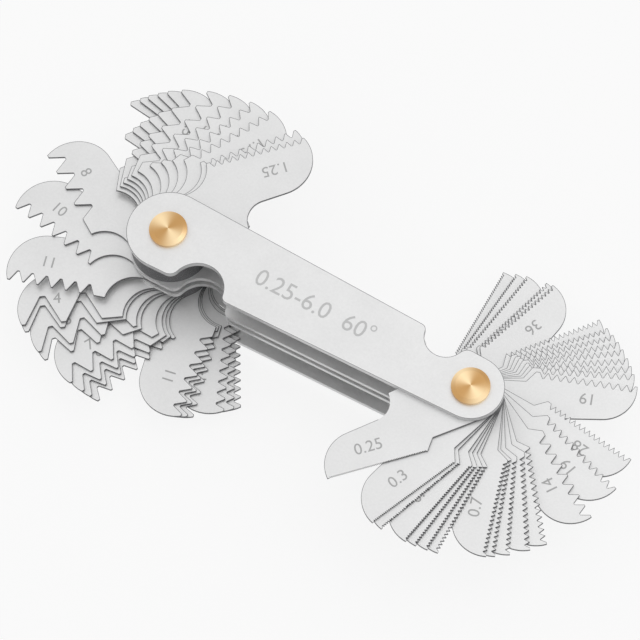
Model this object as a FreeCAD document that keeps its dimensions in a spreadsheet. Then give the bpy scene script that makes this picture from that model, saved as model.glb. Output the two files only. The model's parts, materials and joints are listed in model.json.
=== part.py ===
"""Thread pitch gauge: two riveted sheet-metal channels that hold fans of toothed blades.

Two folded U-channels lie back to back, front one up, and two brass rivets run through both.
Each rivet carries three packs of blades: metric in the front channel, pipe in the gap between
the channels, and inch in the rear channel. Coarse pitches hang on the left rivet, fine ones on
the right. Every blade turns on its rivet and folds in through the open long side.

Frame, in millimetres: the origin is the middle of the left rivet's rear head face, +X runs
along the case to the right rivet, +Y points to the folded webs and +Z to the front.
"""

import FreeCAD
import Part
import Sketcher

import math
import os
import re

VERTEX_START = 1
VERTEX_END = 2
VERTEX_CENTRE = 3
ORIGIN_POINT = (-1, 1)
Z_AXIS = FreeCAD.Vector(0, 0, 1)

SIZES = {
    # Case: two channels of folded strip.
    "pivot_spacing": 53.2,
    "case_left_radius": 6.5,
    "case_right_radius": 5.1,
    "plate_thickness": 0.9,
    "web_start": 15.0,
    "web_end": 41.2,
    "left_thumb_x": 8.9,
    "left_thumb_radius": 4.2,
    "right_thumb_x": 46.0,
    "right_thumb_radius": 3.3,
    "thumb_corner_radius": 1.0,
    "thumb_blend_radius": 1.6,
    # Rivets: brass, set over at both ends.
    "shank_radius": 1.6,
    "head_radius": 2.95,
    "head_height": 0.8,
    "head_flat_radius": 2.3,
    "head_bevel": 0.25,
    "plate_hole_clearance": 0.05,
    "blade_hole_clearance": 0.06,
    # Blades: hardened strip, one pack of a different length in each layer of the case.
    "blade_thickness": 0.33,
    "blade_gap": 0.05,
    "front_pack": 12,
    "middle_pack": 3,
    "rear_pack": 14,
    # Coarse blade, on the left rivet: a round gullet runs from its boss to the teeth.
    "coarse_boss_radius": 6.3,
    "coarse_gullet_radius": 4.6,
    "coarse_crest": 10.0,
    "coarse_heel": 8.4,
    "coarse_tip": 24.2,
    "coarse_end_radius": 6.0,
    "coarse_back_x": 15.2,
    "coarse_back_y": 1.2,
    "coarse_back_slope": 4.0,
    "coarse_notch_radius": 3.4,
    "coarse_shoulder": 3.2,
    # Fine blade, on the right rivet: a straight neck steps out to the teeth.
    "fine_boss_radius": 5.0,
    "fine_neck_x": 7.6,
    "fine_neck_y": 5.8,
    "fine_crest": 7.6,
    "fine_heel": 8.9,
    "fine_tip": 24.4,
    "fine_end_radius": 5.4,
    "fine_back_x": 14.6,
    "fine_back_y": 0.7,
    "fine_back_slope": 8.2,
    "fine_notch_radius": 3.0,
    "fine_shoulder": 3.0,
    # Teeth: half of the thread angle, and the flats as shares of the pitch.
    "metric_half_angle": 30.0,
    "inch_half_angle": 27.5,
    "flat_share": 0.125,
    "tip_land": 0.3,
    "tip_land_share": 0.05,
    "tool_overrun": 0.2,
    "flat_from_pitch": 1.2,
    "inch": 25.4,
}

# Each blade: its marking, and the way it points when the gauge lies spread out as stored. The
# angle runs counter-clockwise from +X to the toothed edge. Packs go from the front one down.
METRIC_COARSE = {"1.25": 45.5, "1.5": 50, "1.75": 62, "2": 70, "2.5": 78, "3": 86,
                 "3.5": 95, "4": 100, "4.5": 103.5, "5": 107, "5.5": 110, "6": 113.5}
METRIC_FINE = {"0.25": 226, "0.3": 247.5, "0.35": 251, "0.4": 260, "0.45": 263.5, "0.5": 267.5,
               "0.6": 271, "0.7": 287, "0.75": 290, "0.8": 295, "0.9": 302, "1": 308}
PIPE_COARSE = {"8": 148.5, "10": 170.5, "11": 197.5}
PIPE_FINE = {"14": 326.5, "19": 340, "28": 352}
INCH_COARSE = {"4": 214.5, "4.5": 217, "5": 225.5, "6": 229, "7": 241, "8": 246, "9": 249,
               "10": 252, "11": 281, "12": 283, "13": 285, "14": 295.5, "16": 299, "18": 301.5}
INCH_FINE = {"19": 380, "20": 385, "22": 388.5, "24": 392, "25": 396, "26": 399.5, "28": 403,
             "30": 406.5, "32": 411, "36": 432, "40": 434.5, "48": 442, "60": 446, "62": 450.5}

doc = FreeCAD.newDocument("thread_pitch_gauge")


def blade_node(family, marking):
    return f"{family}_blade_{marking.replace('.', '_')}"


def blade_sizes():
    """The pitch of every blade and the angle that it swings to."""
    sizes = {}
    packs = [("metric", METRIC_COARSE), ("metric", METRIC_FINE), ("pipe", PIPE_COARSE),
             ("pipe", PIPE_FINE), ("inch", INCH_COARSE), ("inch", INCH_FINE)]
    for family, swings in packs:
        for marking, swing in swings.items():
            node = blade_node(family, marking)
            count = float(marking)
            sizes["pitch_" + node] = count if family == "metric" else SIZES["inch"] / count
            sizes["swing_" + node] = swing
    return sizes


def make_sheet(sizes):
    """Put every driving size in a cell with its name."""
    sheet = doc.addObject("Spreadsheet::Sheet", "sizes")
    for row, (name, size) in enumerate(sizes.items(), start=1):
        sheet.set(f"A{row}", name)
        sheet.set(f"B{row}", str(size))
        sheet.setAlias(f"B{row}", name)
    return sheet


known_sizes = SIZES | blade_sizes()
sheet = make_sheet(known_sizes)
doc.recompute()


def value(expression):
    """Work out an expression of sheet names."""
    return float(sheet.evalExpression(expression))


def prefixed(word):
    return "sizes." + word if word in known_sizes else word


def cell(expression):
    """The same expression, as an object outside the sheet has to write it."""
    return re.sub(r"[a-z_]\w*", lambda word: prefixed(word[0]), expression)


def origin_plane(body, role):
    return next(item for item in body.Origin.OriginFeatures if item.Role == role)


def add_sketch(body, name, plane="XY_Plane", height="0"):
    """A sketch on one of the body's own planes, lifted by an expression."""
    sketch = body.newObject("Sketcher::SketchObject", name)
    sketch.AttachmentSupport = [(origin_plane(body, plane), "")]
    sketch.MapMode = "FlatFace"
    if height != "0":
        sketch.setExpression("AttachmentOffset.Base.z", cell(height))
    return sketch


def bind(sketch, kind, *places, to):
    """Add a constraint whose size follows an expression."""
    size = value(to)
    if kind == "Angle":
        index = sketch.addConstraint(Sketcher.Constraint(kind, *places, math.radians(size)))
        sketch.setExpression(f"Constraints[{index}]", f"({cell(to)}) * 1 deg")
    else:
        index = sketch.addConstraint(Sketcher.Constraint(kind, *places, size))
        sketch.setExpression(f"Constraints[{index}]", cell(to))


def tie(sketch, kind, *places):
    sketch.addConstraint(Sketcher.Constraint(kind, *places))


def point(x, y):
    return FreeCAD.Vector(x, y, 0)


def add_line(sketch, start, end):
    return sketch.addGeometry(Part.LineSegment(point(*start), point(*end)))


def add_arc(sketch, centre, radius, start_angle, end_angle):
    """An arc that runs counter-clockwise, its angles in radians."""
    circle = Part.Circle(point(*centre), Z_AXIS, radius)
    return sketch.addGeometry(Part.ArcOfCircle(circle, start_angle, end_angle))


def add_circle(sketch, x, y, radius):
    """A full circle with its centre and radius bound."""
    circle = Part.Circle(point(value(x), value(y)), Z_AXIS, value(radius))
    index = sketch.addGeometry(circle)
    bind(sketch, "Radius", index, to=radius)
    for kind, place in (("DistanceX", x), ("DistanceY", y)):
        bind(sketch, kind, *ORIGIN_POINT, index, VERTEX_CENTRE, to=place)


def add_polygon(sketch, corners):
    """A closed polygon whose corners are pairs of expressions."""
    spots = [(value(x), value(y)) for x, y in corners]
    lines = [add_line(sketch, spots[i], spots[(i + 1) % len(spots)]) for i in range(len(spots))]
    for i, (x, y) in enumerate(corners):
        tie(sketch, "Coincident", lines[i - 1], VERTEX_END, lines[i], VERTEX_START)
        bind(sketch, "DistanceX", *ORIGIN_POINT, lines[i], VERTEX_START, to=x)
        bind(sketch, "DistanceY", *ORIGIN_POINT, lines[i], VERTEX_START, to=y)


def add_pad(body, sketch, length, name="pad"):
    pad = body.newObject("PartDesign::Pad", name)
    pad.Profile = sketch
    pad.setExpression("Length", cell(length))
    return pad


def add_pocket(body, sketch, name, depth=None):
    """Cut upwards from the sketch: through all, or as deep as an expression says."""
    pocket = body.newObject("PartDesign::Pocket", name)
    pocket.Profile = sketch
    pocket.Reversed = True
    if depth is None:
        pocket.Type = "ThroughAll"
    else:
        pocket.setExpression("Length", cell(depth))
    return pocket


def need_cut(before, after, what):
    """A pocket that misses the solid shows no error, so its volume is compared."""
    if after.Shape.Volume >= before.Shape.Volume - 1e-6:
        raise RuntimeError(f"{what} removed nothing")


# ---------------------------------------------------------------------------------- blades

def tangent_point(corner, radius, side):
    """Where a line from an outside corner touches the boss circle, as an angle."""
    reach = math.hypot(*corner)
    return math.atan2(corner[1], corner[0]) + side * math.acos(radius / reach)


def draw_back(sketch, kind, crest, crest_line):
    """The untoothed edge: round end, sloping back, thumb notch and shoulder, up to the boss."""
    boss_radius = value(f"{kind}_boss_radius")
    end_radius = value(f"{kind}_end_radius")
    notch_radius = value(f"{kind}_notch_radius")
    slope = math.radians(value(f"{kind}_back_slope"))
    back = (value(f"{kind}_back_x"), value(f"{kind}_back_y"))
    tip = (value(f"{kind}_tip"), crest)

    # The round end touches the sloping back and meets the crest line at the tip.
    along = (math.cos(slope), math.sin(slope))
    rise = (tip[1] - back[1]) * along[0] - (tip[0] - back[0]) * along[1]
    run = (tip[0] - back[0]) * along[0] + (tip[1] - back[1]) * along[1]
    flat = run - math.sqrt(end_radius ** 2 - (rise - end_radius) ** 2)
    meet = (back[0] + flat * along[0], back[1] + flat * along[1])
    end_centre = (meet[0] - end_radius * along[1], meet[1] + end_radius * along[0])
    tip_angle = math.atan2(tip[1] - end_centre[1], tip[0] - end_centre[0])
    end_arc = add_arc(sketch, end_centre, end_radius, slope - math.pi / 2, tip_angle)
    back_line = add_line(sketch, back, meet)

    notch_centre = (back[0] + notch_radius * along[1], back[1] - notch_radius * along[0])
    notch_arc = add_arc(sketch, notch_centre, notch_radius, slope + math.pi / 2, math.pi)
    wall_top = (notch_centre[0] - notch_radius, notch_centre[1])
    shoulder = (wall_top[0], -value(f"{kind}_shoulder"))
    wall = add_line(sketch, wall_top, shoulder)
    leave = tangent_point(shoulder, boss_radius, -1)
    foot = (boss_radius * math.cos(leave), boss_radius * math.sin(leave))
    heel_line = add_line(sketch, shoulder, foot)

    tie(sketch, "Coincident", crest_line, VERTEX_END, end_arc, VERTEX_END)
    tie(sketch, "Tangent", end_arc, VERTEX_START, back_line, VERTEX_END)
    tie(sketch, "Tangent", back_line, VERTEX_START, notch_arc, VERTEX_START)
    tie(sketch, "Tangent", notch_arc, VERTEX_END, wall, VERTEX_START)
    tie(sketch, "Vertical", wall)
    tie(sketch, "Coincident", wall, VERTEX_END, heel_line, VERTEX_START)
    bind(sketch, "Radius", end_arc, to=f"{kind}_end_radius")
    bind(sketch, "Radius", notch_arc, to=f"{kind}_notch_radius")
    bind(sketch, "DistanceX", *ORIGIN_POINT, back_line, VERTEX_START, to=f"{kind}_back_x")
    bind(sketch, "DistanceY", *ORIGIN_POINT, back_line, VERTEX_START, to=f"{kind}_back_y")
    bind(sketch, "Angle", back_line, to=f"{kind}_back_slope")
    bind(sketch, "DistanceY", wall, VERTEX_END, *ORIGIN_POINT, to=f"{kind}_shoulder")
    return heel_line, leave + 2 * math.pi


def draw_crest(sketch, kind):
    """The straight edge that the teeth are cut into."""
    crest = value(f"{kind}_crest")
    line = add_line(sketch, (value(f"{kind}_heel"), crest), (value(f"{kind}_tip"), crest))
    tie(sketch, "Horizontal", line)
    bind(sketch, "DistanceX", *ORIGIN_POINT, line, VERTEX_START, to=f"{kind}_heel")
    bind(sketch, "DistanceY", *ORIGIN_POINT, line, VERTEX_START, to=f"{kind}_crest")
    bind(sketch, "DistanceX", *ORIGIN_POINT, line, VERTEX_END, to=f"{kind}_tip")
    return line, crest


def draw_boss(sketch, kind, start_angle, end_angle):
    boss = add_arc(sketch, (0, 0), value(f"{kind}_boss_radius"), start_angle, end_angle)
    tie(sketch, "Coincident", boss, VERTEX_CENTRE, *ORIGIN_POINT)
    bind(sketch, "Radius", boss, to=f"{kind}_boss_radius")
    return boss


def draw_coarse_outline(sketch):
    """Coarse blade: the tooth side leaves the boss in one round gullet."""
    crest_line, crest = draw_crest(sketch, "coarse")
    heel_line, leave = draw_back(sketch, "coarse", crest, crest_line)
    boss_radius = value("coarse_boss_radius")
    gullet_radius = value("coarse_gullet_radius")
    heel = (value("coarse_heel"), crest)

    # The gullet's centre lies both radii from the pivot and one from the heel.
    far = boss_radius + gullet_radius
    reach = math.hypot(*heel)
    base = (far ** 2 - gullet_radius ** 2 + reach ** 2) / (2 * reach)
    off = math.sqrt(far ** 2 - base ** 2)
    centre = ((heel[0] * base - heel[1] * off) / reach, (heel[1] * base + heel[0] * off) / reach)
    toward_boss = math.atan2(-centre[1], -centre[0])
    toward_heel = math.atan2(heel[1] - centre[1], heel[0] - centre[0])
    gullet = add_arc(sketch, centre, gullet_radius, toward_boss, toward_heel)
    boss = draw_boss(sketch, "coarse", math.atan2(centre[1], centre[0]), leave)

    tie(sketch, "Tangent", gullet, VERTEX_START, boss, VERTEX_START)
    tie(sketch, "Coincident", gullet, VERTEX_END, crest_line, VERTEX_START)
    tie(sketch, "Tangent", heel_line, VERTEX_END, boss, VERTEX_END)
    bind(sketch, "Radius", gullet, to="coarse_gullet_radius")


def draw_fine_outline(sketch):
    """Fine blade: a straight neck leaves the boss and steps out to the teeth."""
    crest_line, crest = draw_crest(sketch, "fine")
    heel_line, leave = draw_back(sketch, "fine", crest, crest_line)
    boss_radius = value("fine_boss_radius")
    neck = (value("fine_neck_x"), value("fine_neck_y"))
    start = tangent_point(neck, boss_radius, 1)
    foot = (boss_radius * math.cos(start), boss_radius * math.sin(start))
    neck_line = add_line(sketch, foot, neck)
    step_line = add_line(sketch, neck, (value("fine_heel"), crest))
    boss = draw_boss(sketch, "fine", start, leave)

    tie(sketch, "Tangent", neck_line, VERTEX_START, boss, VERTEX_START)
    tie(sketch, "Coincident", neck_line, VERTEX_END, step_line, VERTEX_START)
    tie(sketch, "Coincident", step_line, VERTEX_END, crest_line, VERTEX_START)
    tie(sketch, "Tangent", heel_line, VERTEX_END, boss, VERTEX_END)
    bind(sketch, "DistanceX", *ORIGIN_POINT, neck_line, VERTEX_END, to="fine_neck_x")
    bind(sketch, "DistanceY", *ORIGIN_POINT, neck_line, VERTEX_END, to="fine_neck_y")


def draw_tooth_space(sketch, kind, pitch, half_angle):
    """The space between two teeth nearest the tip, with flats where the pitch shows them."""
    flat = "flat_share" if value(f"{pitch} - flat_from_pitch") > 0 else "0"
    root_width = f"{flat} * {pitch}"
    depth = f"(1 - 2 * {flat}) * {pitch} / 2 / tan({half_angle} * 1 deg)"
    land = f"(tip_land + tip_land_share * {pitch})"
    middle = f"({kind}_tip - {land} - (1 - {flat}) * {pitch} / 2)"
    overrun = f"tool_overrun * {pitch}"
    mouth = f"({root_width} / 2 + ({depth} + {overrun}) * tan({half_angle} * 1 deg))"
    root = f"{kind}_crest - {depth}"
    top = f"{kind}_crest + {overrun}"
    corners = [(f"{middle} - {mouth}", top)]
    if flat == "0":
        corners.append((middle, root))
    else:
        corners.append((f"{middle} - {root_width} / 2", root))
        corners.append((f"{middle} + {root_width} / 2", root))
    corners.append((f"{middle} + {mouth}", top))
    add_polygon(sketch, corners)
    return land


def make_blade(node, kind, half_angle, level, layer):
    """One blade: blanked outline with its rivet hole, then a row of tooth spaces."""
    pitch = "pitch_" + node
    swing = "swing_" + node
    body = doc.addObject("PartDesign::Body", node)
    outline = add_sketch(body, "outline_" + node)
    if kind == "coarse":
        draw_coarse_outline(outline)
    else:
        draw_fine_outline(outline)
    add_circle(outline, "0", "0", "shank_radius + blade_hole_clearance")
    blank = add_pad(body, outline, "blade_thickness", "blank_" + node)

    space = add_sketch(body, "space_" + node)
    land = draw_tooth_space(space, kind, pitch, half_angle)
    cut = add_pocket(body, space, "cut_" + node)
    row = body.newObject("PartDesign::LinearPattern", "teeth_" + node)
    row.Originals = [cut]
    row.Direction = (space, ["H_Axis"])
    row.Reversed = True
    row.Mode = "Spacing"
    row.setExpression("Offset", cell(pitch))
    run = f"({kind}_tip - {kind}_heel - {land})"
    row.setExpression("Occurrences", cell(f"floor({run} / {pitch})"))
    body.Tip = row

    pivot = "0" if kind == "coarse" else "pivot_spacing"
    body.Placement = FreeCAD.Placement(point(0, 0), FreeCAD.Rotation(Z_AXIS, value(swing)))
    body.setExpression("Placement.Rotation.Angle", cell(swing))
    body.setExpression("Placement.Base.x", cell(pivot))
    body.setExpression("Placement.Base.z", cell(f"{level} + blade_gap + {layer} * {PACK_STEP}"))
    return body, blank


PACK_STEP = "(blade_thickness + blade_gap)"
REAR_LEVEL = "head_height + plate_thickness"
MIDDLE_LEVEL = f"({REAR_LEVEL} + rear_pack * {PACK_STEP} + blade_gap + plate_thickness)"
FRONT_LEVEL = f"({MIDDLE_LEVEL} + middle_pack * {PACK_STEP} + blade_gap + plate_thickness)"
CASE_TOP = f"({FRONT_LEVEL} + front_pack * {PACK_STEP} + blade_gap + plate_thickness)"


def make_pack(family, kind, swings, level, half_angle):
    """A pack of blades in one layer of the case, the first one nearest the front."""
    blades = []
    for place, marking in enumerate(swings):
        node = blade_node(family, marking)
        layer = str(len(swings) - 1 - place)
        blades.append(make_blade(node, kind, half_angle, level, layer))
    return blades


# ------------------------------------------------------------------------------------ case

def draw_case_outline(sketch):
    """Two unequal round ends and the straight edges that touch both."""
    left = value("case_left_radius")
    right = value("case_right_radius")
    spacing = value("pivot_spacing")
    lean = math.asin((left - right) / spacing)
    touch = math.pi / 2 - lean
    left_arc = add_arc(sketch, (0, 0), left, touch, 2 * math.pi - touch)
    right_arc = add_arc(sketch, (spacing, 0), right, -touch, touch)
    spots = {side: ((left * math.cos(touch), side * left * math.sin(touch)),
                    (spacing + right * math.cos(touch), side * right * math.sin(touch)))
             for side in (1, -1)}
    upper = add_line(sketch, *spots[1])
    lower = add_line(sketch, *spots[-1])
    tie(sketch, "Coincident", left_arc, VERTEX_CENTRE, *ORIGIN_POINT)
    tie(sketch, "Tangent", left_arc, VERTEX_START, upper, VERTEX_START)
    tie(sketch, "Tangent", left_arc, VERTEX_END, lower, VERTEX_START)
    tie(sketch, "Tangent", right_arc, VERTEX_END, upper, VERTEX_END)
    tie(sketch, "Tangent", right_arc, VERTEX_START, lower, VERTEX_END)
    bind(sketch, "Radius", left_arc, to="case_left_radius")
    bind(sketch, "Radius", right_arc, to="case_right_radius")
    bind(sketch, "DistanceX", *ORIGIN_POINT, right_arc, VERTEX_CENTRE, to="pivot_spacing")
    bind(sketch, "DistanceY", *ORIGIN_POINT, right_arc, VERTEX_CENTRE, to="0")


def edge_height(x):
    """How far the straight edge lies from the middle line, at a distance from the left rivet."""
    lean = "asin((case_left_radius - case_right_radius) / pivot_spacing)"
    return f"((case_left_radius - {x} * sin({lean})) / cos({lean}))"


def upright_edges(feature, places):
    """Names of the upright edges nearest to the given places."""
    names = []
    for x, y in places:
        def distance(numbered):
            edge = numbered[1]
            middle = edge.CenterOfMass
            upright = abs(edge.tangentAt(edge.FirstParameter).z) > 0.99
            return math.hypot(middle.x - x, middle.y - y) if upright else math.inf
        number, _ = min(enumerate(feature.Shape.Edges, start=1), key=distance)
        names.append(f"Edge{number}")
    return names


def round_edges(body, base, edges, radius, name):
    fillet = body.newObject("PartDesign::Fillet", name)
    fillet.Base = (base, edges)
    fillet.setExpression("Radius", cell(radius))
    doc.recompute()
    return fillet


def make_channel(node, pack):
    """A folded channel: two plates joined by a web, open along the other long side."""
    body = doc.addObject("PartDesign::Body", node)
    inside = f"({pack} * {PACK_STEP} + blade_gap)"
    outline = add_sketch(body, "outline_" + node)
    draw_case_outline(outline)
    hole = "shank_radius + plate_hole_clearance"
    add_circle(outline, "0", "0", hole)
    add_circle(outline, "pivot_spacing", "0", hole)
    blank = add_pad(body, outline, f"2 * plate_thickness + {inside}", "blank_" + node)

    thumb = add_sketch(body, "thumb_" + node)
    add_circle(thumb, "left_thumb_x", f"- {edge_height('left_thumb_x')}", "left_thumb_radius")
    add_circle(thumb, "right_thumb_x", edge_height("right_thumb_x"), "right_thumb_radius")
    notched = add_pocket(body, thumb, "thumb_cut_" + node)
    doc.recompute()
    need_cut(blank, notched, "the thumb notches")

    left_low = -value(edge_height("left_thumb_x"))
    right_high = value(edge_height("right_thumb_x"))
    corners = [(value("left_thumb_x + left_thumb_radius"), left_low),
               (value("right_thumb_x - right_thumb_radius"), right_high)]
    blends = [(value("left_thumb_x - left_thumb_radius"), left_low),
              (value("right_thumb_x + right_thumb_radius"), right_high)]
    eased = round_edges(body, notched, upright_edges(notched, corners),
                        "thumb_corner_radius", "corners_" + node)
    eased = round_edges(body, eased, upright_edges(eased, blends),
                        "thumb_blend_radius", "blends_" + node)

    beyond = "2 * case_left_radius"
    space = add_sketch(body, "inside_" + node, height="plate_thickness")
    add_polygon(space, [
        (f"- {beyond}", f"- {beyond}"),
        (f"pivot_spacing + {beyond}", f"- {beyond}"),
        (f"pivot_spacing + {beyond}", beyond),
        ("web_end", beyond),
        ("web_end", f"{edge_height('web_end')} - plate_thickness"),
        ("web_start", f"{edge_height('web_start')} - plate_thickness"),
        ("web_start", beyond),
        (f"- {beyond}", beyond),
    ])
    hollow = add_pocket(body, space, "inside_cut_" + node, depth=inside)
    doc.recompute()
    need_cut(eased, hollow, "the space between the plates")
    return body


def make_rivet(node, x):
    """A brass rivet: plain shank and two low heads with a bevelled rim."""
    body = doc.addObject("PartDesign::Body", node)
    profile = add_sketch(body, "profile_" + node, plane="XZ_Plane")
    far = f"{CASE_TOP} + head_height"
    add_polygon(profile, [
        ("0", "0"),
        ("head_flat_radius", "0"),
        ("head_radius", "head_bevel"),
        ("head_radius", "head_height"),
        ("shank_radius", "head_height"),
        ("shank_radius", CASE_TOP),
        ("head_radius", CASE_TOP),
        ("head_radius", f"{far} - head_bevel"),
        ("head_flat_radius", far),
        ("0", far),
    ])
    turned = body.newObject("PartDesign::Revolution", "turned_" + node)
    turned.Profile = profile
    turned.ReferenceAxis = (profile, ["V_Axis"])
    turned.Angle = 360
    body.setExpression("Placement.Base.x", cell(x))
    return body


def make_group(node, members):
    """Several separate solids that share one node."""
    group = doc.addObject("Part::Compound", node)
    group.Links = members
    return group


def make_case():
    rear = make_channel("rear_channel", "rear_pack")
    front = make_channel("front_channel", "front_pack")
    rear.setExpression("Placement.Base.z", cell("head_height"))
    front.setExpression("Placement.Base.z", cell(f"{FRONT_LEVEL} - plate_thickness"))
    rivets = [make_rivet("left_rivet", "0"), make_rivet("right_rivet", "pivot_spacing")]
    return [make_group("case_channels", [rear, front]), make_group("rivets", rivets)]


# ----------------------------------------------------------------------------------- build

metric = "metric_half_angle"
inch = "inch_half_angle"
blades = (make_pack("metric", "coarse", METRIC_COARSE, FRONT_LEVEL, metric)
          + make_pack("metric", "fine", METRIC_FINE, FRONT_LEVEL, metric)
          + make_pack("pipe", "coarse", PIPE_COARSE, MIDDLE_LEVEL, inch)
          + make_pack("pipe", "fine", PIPE_FINE, MIDDLE_LEVEL, inch)
          + make_pack("inch", "coarse", INCH_COARSE, REAR_LEVEL, inch)
          + make_pack("inch", "fine", INCH_FINE, REAR_LEVEL, inch))
case = make_case()
doc.recompute()

for blade, blank in blades:
    need_cut(blank, blade, "the teeth of " + blade.Name)
nodes = [blade for blade, blank in blades] + case
for item in doc.Objects:
    if "Invalid" in item.State or "Error" in item.State:
        raise RuntimeError(f"{item.Name} failed: {item.State}")
for node in nodes:
    node.Label = node.Name
    if node.Shape.isNull() or not node.Shape.isValid():
        raise RuntimeError(f"{node.Label} has no valid solid")

os.makedirs("parts", exist_ok=True)
for node in nodes:
    node.Shape.exportStep(f"parts/{node.Label}.step")
print(f"{len(nodes)} nodes, {sum(len(node.Shape.Solids) for node in nodes)} solids")
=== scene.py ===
import json
import math

import bpy
from mathutils import Matrix, Vector


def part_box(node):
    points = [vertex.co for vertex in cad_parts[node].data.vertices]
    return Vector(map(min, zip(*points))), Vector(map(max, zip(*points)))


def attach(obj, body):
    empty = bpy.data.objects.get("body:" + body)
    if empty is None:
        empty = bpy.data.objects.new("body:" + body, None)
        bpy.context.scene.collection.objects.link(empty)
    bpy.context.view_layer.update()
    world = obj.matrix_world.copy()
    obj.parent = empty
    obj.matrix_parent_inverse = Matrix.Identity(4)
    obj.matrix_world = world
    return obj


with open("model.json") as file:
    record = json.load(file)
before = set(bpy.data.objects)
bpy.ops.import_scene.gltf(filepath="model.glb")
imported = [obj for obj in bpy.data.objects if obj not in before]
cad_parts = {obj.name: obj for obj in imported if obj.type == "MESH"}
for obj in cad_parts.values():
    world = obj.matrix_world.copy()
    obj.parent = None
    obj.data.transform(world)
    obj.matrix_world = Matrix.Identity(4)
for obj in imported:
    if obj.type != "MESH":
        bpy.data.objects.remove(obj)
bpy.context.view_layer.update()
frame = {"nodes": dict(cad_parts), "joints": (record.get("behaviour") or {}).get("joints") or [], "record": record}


# ---- Camera: looks steeply down on the gauge, over its open long side and a little from the
# right, through a long lens that keeps the two ends almost the same size.
AIM = Vector((0.026, 0.0011, 0.008))
AZIMUTH = math.radians(36.7)
ELEVATION = math.radians(66)
ROLL = math.radians(-6.8)
DISTANCE = 0.45
FIELD_OF_VIEW = math.radians(12.5)
back = Vector((math.sin(AZIMUTH) * math.cos(ELEVATION), -math.cos(AZIMUTH) * math.cos(ELEVATION),
               math.sin(ELEVATION)))
camera = bpy.data.objects.new("camera", bpy.data.cameras.new("camera"))
camera.data.sensor_width = 36
camera.data.angle = FIELD_OF_VIEW
camera.data.clip_start = 0.01
camera.data.clip_end = 10
camera.rotation_mode = "QUATERNION"
camera.rotation_quaternion = (back.to_track_quat("Z", "Y").to_matrix()
                              @ Matrix.Rotation(ROLL, 3, "Z")).to_quaternion()
camera.location = AIM + back * DISTANCE
bpy.context.scene.collection.objects.link(camera)
bpy.context.scene.camera = camera
bpy.context.scene.view_settings.view_transform = "Standard"


# ---- Case and blades: satin steel strip with a fine mottled grain, folded for the case and
# punched for the blades. The sheared edges of the blades are darker than their faces, partly as
# rougher sheared steel and partly as painted shade between the stacked blades. The insides of the
# folded webs are dark with painted shade, with real marks along the strip.
STEEL_ROUGHNESS = 0.30
GRAINS = 2600
MOTTLES = 160
STREAKS = 900
STREAK_STRETCH = (0.08, 1, 1)
GRAIN_DEPTH = 0.000012


class Maths:
    """A value in a node tree that adds, multiplies and so on by making nodes."""

    def __init__(self, tree, socket):
        self.tree = tree
        self.socket = socket

    def new(self, kind, inputs=(), output=0, **settings):
        node = self.tree.nodes.new(kind)
        for name, setting in settings.items():
            setattr(node, name, setting)
        for place, value in dict(inputs).items():
            if isinstance(value, Maths):
                self.tree.links.new(value.socket, node.inputs[place])
            else:
                node.inputs[place].default_value = value
        return Maths(self.tree, node.outputs[output])

    def maths(self, operation, other=0.0):
        return self.new("ShaderNodeMath", {0: self, 1: other}, operation=operation)

    def __add__(self, other):
        return self.maths("ADD", other)

    def __sub__(self, other):
        return self.maths("SUBTRACT", other)

    def __rsub__(self, other):
        return self.new("ShaderNodeMath", {0: other, 1: self}, operation="SUBTRACT")

    def __mul__(self, other):
        return self.maths("MULTIPLY", other)

    __radd__ = __add__
    __rmul__ = __mul__


def srgb(red, green, blue):
    """A colour as it looks on screen, from 0 to 255, in the linear values that shaders use."""
    return tuple((c / 255) ** 2.2 for c in (red, green, blue)) + (1.0,)


def make_material(name):
    """An empty material: its Principled shader and the object's own coordinates."""
    material = bpy.data.materials.new(name)
    material.use_nodes = True
    tree = material.node_tree
    shader = tree.nodes["Principled BSDF"]
    place = tree.nodes.new("ShaderNodeTexCoord").outputs["Object"]
    return material, shader, Maths(tree, place)


def plug(shader, place, value):
    """Puts a plain value or a worked-out one into a shader's socket."""
    if isinstance(value, Maths):
        value.tree.links.new(value.socket, shader.inputs[place])
    else:
        shader.inputs[place].default_value = value


def noise(place, scale, detail=2.0, stretch=(1, 1, 1)):
    """Noise from 0 to 1, with a scale in grains per metre and a stretch along each axis."""
    spot = place.new("ShaderNodeMapping", {"Vector": place, "Scale": stretch})
    return place.new("ShaderNodeTexNoise", {"Vector": spot, "Scale": scale, "Detail": detail})


def bump(height, distance, strength):
    """Small hills as high as the distance, in metres, where the height is 1."""
    return height.new("ShaderNodeBump", {"Height": height, "Distance": distance, "Strength": strength})


def mix(place, share, low, high):
    """One colour fading into another as the share goes from 0 to 1."""
    return place.new("ShaderNodeMix", {0: share, 6: low, 7: high}, 2, data_type="RGBA")


def axis_part(vector, number):
    """The X, Y or Z part of a vector."""
    return vector.new("ShaderNodeSeparateXYZ", {0: vector}, number)


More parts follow.
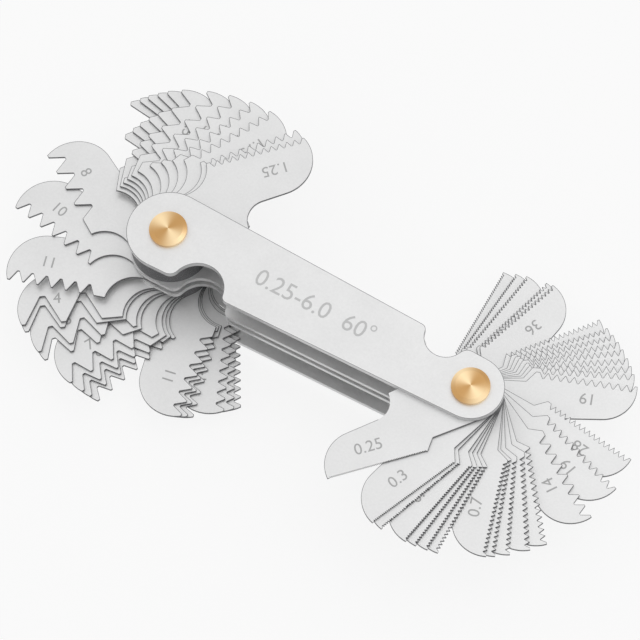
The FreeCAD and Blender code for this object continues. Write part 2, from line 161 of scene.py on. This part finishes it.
def make_steel(name, face, edge, web_shade):
    """Steel with one colour on its flat faces, one on its edges and one of painted shade inside the webs."""
    material, shader, place = make_material(name)
    normal = Maths(place.tree, place.socket.node.outputs["Normal"])
    grain = noise(place, GRAINS, 4)
    mottle = noise(place, MOTTLES, 3)
    streaks = noise(place, STREAKS, 3, STREAK_STRETCH)
    flat = axis_part(normal, 2).maths("ABSOLUTE").maths("GREATER_THAN", 0.5)
    # Inner faces of the webs: they take the painted shade colour and the streaks of real marks.
    inside_shade_and_marks = axis_part(normal, 1).maths("LESS_THAN", -0.5) * axis_part(place, 1).maths("GREATER_THAN", 0)
    tone = mix(place, flat, mix(place, inside_shade_and_marks, edge, web_shade), face)
    shade = 1 + (grain - 0.5) * 0.12 + (mottle - 0.5) * 0.12 + (streaks - 0.5) * inside_shade_and_marks * 0.6
    plug(shader, "Base Color", tone.new("ShaderNodeVectorMath", {0: tone, 3: shade}, operation="SCALE"))
    plug(shader, "Metallic", 0.75)
    plug(shader, "Roughness", STEEL_ROUGHNESS + grain * 0.15 + mottle * 0.10)
    plug(shader, "Normal", bump(grain, GRAIN_DEPTH, 0.6))
    return material


def coat(name, material):
    """Gives a node its only material."""
    slots = frame["nodes"][name].data.materials
    slots.clear()
    slots.append(material)


# The web colours are painted shade inside the folded channels.
CASE_STEEL = make_steel("case_steel", srgb(229, 229, 229), edge=srgb(205, 205, 205), web_shade=srgb(88, 88, 87))
# The blade edge colour is partly rougher sheared steel and partly painted shade between stacked blades.
BLADE_STEEL = make_steel("blade_steel", srgb(227, 227, 227), edge=srgb(96, 96, 98), web_shade=srgb(96, 96, 98))

coat("case_channels", CASE_STEEL)
for name in frame["nodes"]:
    if "_blade_" in name:
        coat(name, BLADE_STEEL)


# ---- Rivets: brass, with heads turned flat. The turning leaves rings round each rivet's own
# axis, made here as a bump; the sectors of light and shade that such rings throw are painted into
# the brass colour as painted highlight and painted shade.
PIVOT_X = max(joint["pos_m"][0] for joint in frame["joints"])
RINGS = 9000
RING_DEPTH = 0.00002
SECTOR_TURN = 0.9


def make_brass():
    material, shader, place = make_material("rivet_brass")
    x = axis_part(place, 0)
    y = axis_part(place, 1)
    offset = x - PIVOT_X * x.maths("GREATER_THAN", PIVOT_X / 2)
    radius = (offset * offset + y * y).maths("SQRT")
    angle = y.maths("ARCTAN2", offset)
    # Painted highlight and painted shade: the brass colour turns light and dark in sectors round each rivet's
    # axis.
    painted_sectors = (0.5 + 0.5 * (2 * angle + SECTOR_TURN).maths("COSINE")).maths("POWER", 1.5)
    rings = noise(radius.new("ShaderNodeCombineXYZ", {0: radius}), RINGS, 2)
    plug(shader, "Base Color", mix(place, painted_sectors, srgb(196, 152, 98), srgb(252, 224, 178)))
    plug(shader, "Metallic", 0.9)
    plug(shader, "Roughness", 0.24 + rings * 0.12)
    plug(shader, "Normal", bump(rings, RING_DEPTH, 0.7))
    return material


coat("rivets", make_brass())


# ---- Edge lines: the rounded rims of the sheared strip reflect dark, and this dark reflection is
# painted as a thin dark strip round each upper face. On the metric blades under 1 mm the shortest
# sides, those of the finest teeth, have none, because the lines would fill such teeth.
RIM_WIDTH = 0.00007
RIM_LIFT = Vector((0, 0, 0.000006))
FINEST_SIDE = 0.00035
FLATNESS = 0.00001


def make_plain_metal(name, colour, metallic, roughness):
    """Metal of one even colour, without grain."""
    material, shader, place = make_material(name)
    plug(shader, "Base Color", colour)
    plug(shader, "Metallic", metallic)
    plug(shader, "Roughness", roughness)
    return material


def upper_border(mesh, height):
    """The sides round the faces that look up at a height, each with its face on the left."""
    sides = {}
    for face in mesh.polygons:
        if face.normal.z > 0.9 and abs(face.center.z - height) < FLATNESS:
            corners = [tuple(round(c, 8) for c in mesh.vertices[v].co) for v in face.vertices]
            for side in zip(corners, corners[1:] + corners[:1]):
                sides[side] = True
    return [(start, end) for start, end in sides if (end, start) not in sides]


def make_rims(name, mesh, height, shortest):
    """Thin quads just inside the border of the upper face, along the sides that are long enough."""
    points = []
    for start, end in upper_border(mesh, height):
        start = Vector(start)
        end = Vector(end)
        along = end - start
        if along.length < shortest:
            continue
        inward = Vector((-along.y, along.x, 0)).normalized() * RIM_WIDTH
        points += [corner + RIM_LIFT for corner in (start, end, end + inward, start + inward)]
    rim_mesh = bpy.data.meshes.new(name)
    rim_mesh.from_pydata(points, [], [range(i, i + 4) for i in range(0, len(points), 4)])
    rim_mesh.materials.append(RIM_PAINTED_REFLECTION)
    rims = bpy.data.objects.new(name, rim_mesh)
    bpy.context.scene.collection.objects.link(rims)
    return rims


# Painted reflection: the dark grey of the thin strips that stand in for the dark rims.
RIM_PAINTED_REFLECTION = make_plain_metal("rim_painted_reflection", srgb(118, 118, 120), 0.75, 0.5)

for body in frame["record"]["behaviour"]["bodies"]:
    node = "case_channels" if body == "case" else body
    shortest = FINEST_SIDE if "_0_" in body else 0
    rims = make_rims("rims_" + body, frame["nodes"][node].data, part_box(node)[1].z, shortest)
    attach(rims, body)


# ---- Blade numbers: each blade carries its own pitch, stamped near the tip and read with the
# tip to the left. It lies along the toothed edge, which is found from where the blade folds.
NUMBER_HEIGHT = 0.0018
NUMBER_LIFT = 0.00001
CAPITAL_SHARE = 0.7
FINE_SPOT = Vector((0.0172, 0.0045, 0))
COARSE_SPOT = Vector((0.0185, 0.006, 0))
FINE_FOLDED = 165
COARSE_FOLDED = 337


def make_text(words, height, name, ink):
    """Flat letters centred on the origin, facing up, with capitals of the height."""
    curve = bpy.data.curves.new(name, "FONT")
    curve.body = words
    curve.size = height / CAPITAL_SHARE
    curve.align_x = "CENTER"
    curve.align_y = "CENTER"
    curve.resolution_u = 3
    text = bpy.data.objects.new(name, curve)
    mesh = bpy.data.meshes.new_from_object(text)
    bpy.data.objects.remove(text)
    mesh.materials.clear()
    mesh.materials.append(ink)
    letters = bpy.data.objects.new(name, mesh)
    bpy.context.scene.collection.objects.link(letters)
    return letters


BLADE_INK = make_plain_metal("blade_numbers", srgb(176, 176, 176), 0.6, 0.6)

for joint in frame["joints"]:
    blade = joint["child"]
    pivot_x = joint["pos_m"][0]
    low, high = joint["range_deg"]
    if pivot_x > PIVOT_X / 2:
        edge_angle = FINE_FOLDED - low
        spot = FINE_SPOT
    else:
        edge_angle = COARSE_FOLDED - high
        spot = COARSE_SPOT
    pitch = blade.split("blade_")[1].replace("_", ".")
    letters = make_text(pitch, NUMBER_HEIGHT, "number_" + blade, BLADE_INK)
    letters.data.transform(Matrix.Translation((pivot_x, 0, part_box(blade)[1].z + NUMBER_LIFT))
                           @ Matrix.Rotation(math.radians(edge_angle), 4, "Z")
                           @ Matrix.Translation(spot) @ Matrix.Rotation(math.pi, 4, "Z"))
    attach(letters, blade)


# ---- Case marking: the range of pitches and the thread angle, as plain numbers along the
# front plate, stamped as those on the blades are but larger and fainter.
MARKING_HEIGHT = 0.0028
MARKING_X = 0.0262
CASE_INK = make_plain_metal("case_numbers", srgb(198, 198, 198), 0.6, 0.6)
marking = make_text("0.25-6.0  60°", MARKING_HEIGHT, "case_marking", CASE_INK)
marking.data.transform(Matrix.Translation((MARKING_X, 0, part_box("case_channels")[1].z + NUMBER_LIFT)))
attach(marking, "case")


# ---- Room: a white table, and soft light from above through two wide lamps. Table and sky look
# white to the eye and in the metal, and are dimmer as sources of light.
FLOOR_REACH = 3.0
FLOOR_GAP = 0.0002
LAMP_AIM = Vector((0.026, 0, 0))
WHITE = (1, 1, 1, 1)


def make_lamp(name, location, size, power):
    lamp = bpy.data.objects.new(name, bpy.data.lights.new(name, "AREA"))
    lamp.data.shape = "DISK"
    lamp.data.size = size
    lamp.data.energy = power
    lamp.location = location
    lamp.rotation_mode = "QUATERNION"
    lamp.rotation_quaternion = (Vector(location) - LAMP_AIM).to_track_quat("Z", "Y")
    bpy.context.scene.collection.objects.link(lamp)


def seen_share(tree):
    """1 for rays that show the surroundings: to the camera, in metal or through glass."""
    path = tree.nodes.new("ShaderNodeLightPath")
    seen = Maths(tree, path.outputs["Is Camera Ray"])
    seen = seen.maths("MAXIMUM", Maths(tree, path.outputs["Is Glossy Ray"]))
    return seen.maths("MAXIMUM", Maths(tree, path.outputs["Is Transmission Ray"]))


world = bpy.data.worlds.new("world")
world.use_nodes = True
bpy.context.scene.world = world
background = world.node_tree.nodes["Background"]
plug(background, "Color", WHITE)
plug(background, "Strength", 0.7 + 0.3 * seen_share(world.node_tree))

floor_mesh = bpy.data.meshes.new("floor")
corners = ((-1, -1), (1, -1), (1, 1), (-1, 1))
floor_mesh.from_pydata([(x * FLOOR_REACH, y * FLOOR_REACH, 0) for x, y in corners], [], [(0, 1, 2, 3)])
floor = bpy.data.objects.new("floor", floor_mesh)
floor.location.z = -FLOOR_GAP
bpy.context.scene.collection.objects.link(floor)
floor_material, floor_shader, floor_place = make_material("floor")
plug(floor_shader, "Base Color", WHITE)
plug(floor_shader, "Roughness", 0.9)
plug(floor_shader, "Specular IOR Level", 0.0)
glow = floor_place.new("ShaderNodeEmission", {"Color": WHITE, "Strength": 1.0})
shaded = Maths(floor_place.tree, floor_shader.outputs[0])
surface = glow.new("ShaderNodeMixShader", {0: 0.82 * seen_share(floor_place.tree), 1: shaded, 2: glow})
plug(floor_place.tree.nodes["Material Output"], "Surface", surface)
floor_mesh.materials.append(floor_material)

make_lamp("key", (0.16, 0.24, 0.6), 0.4, 0.22)
make_lamp("fill", (-0.4, -0.35, 0.5), 0.5, 0.1)
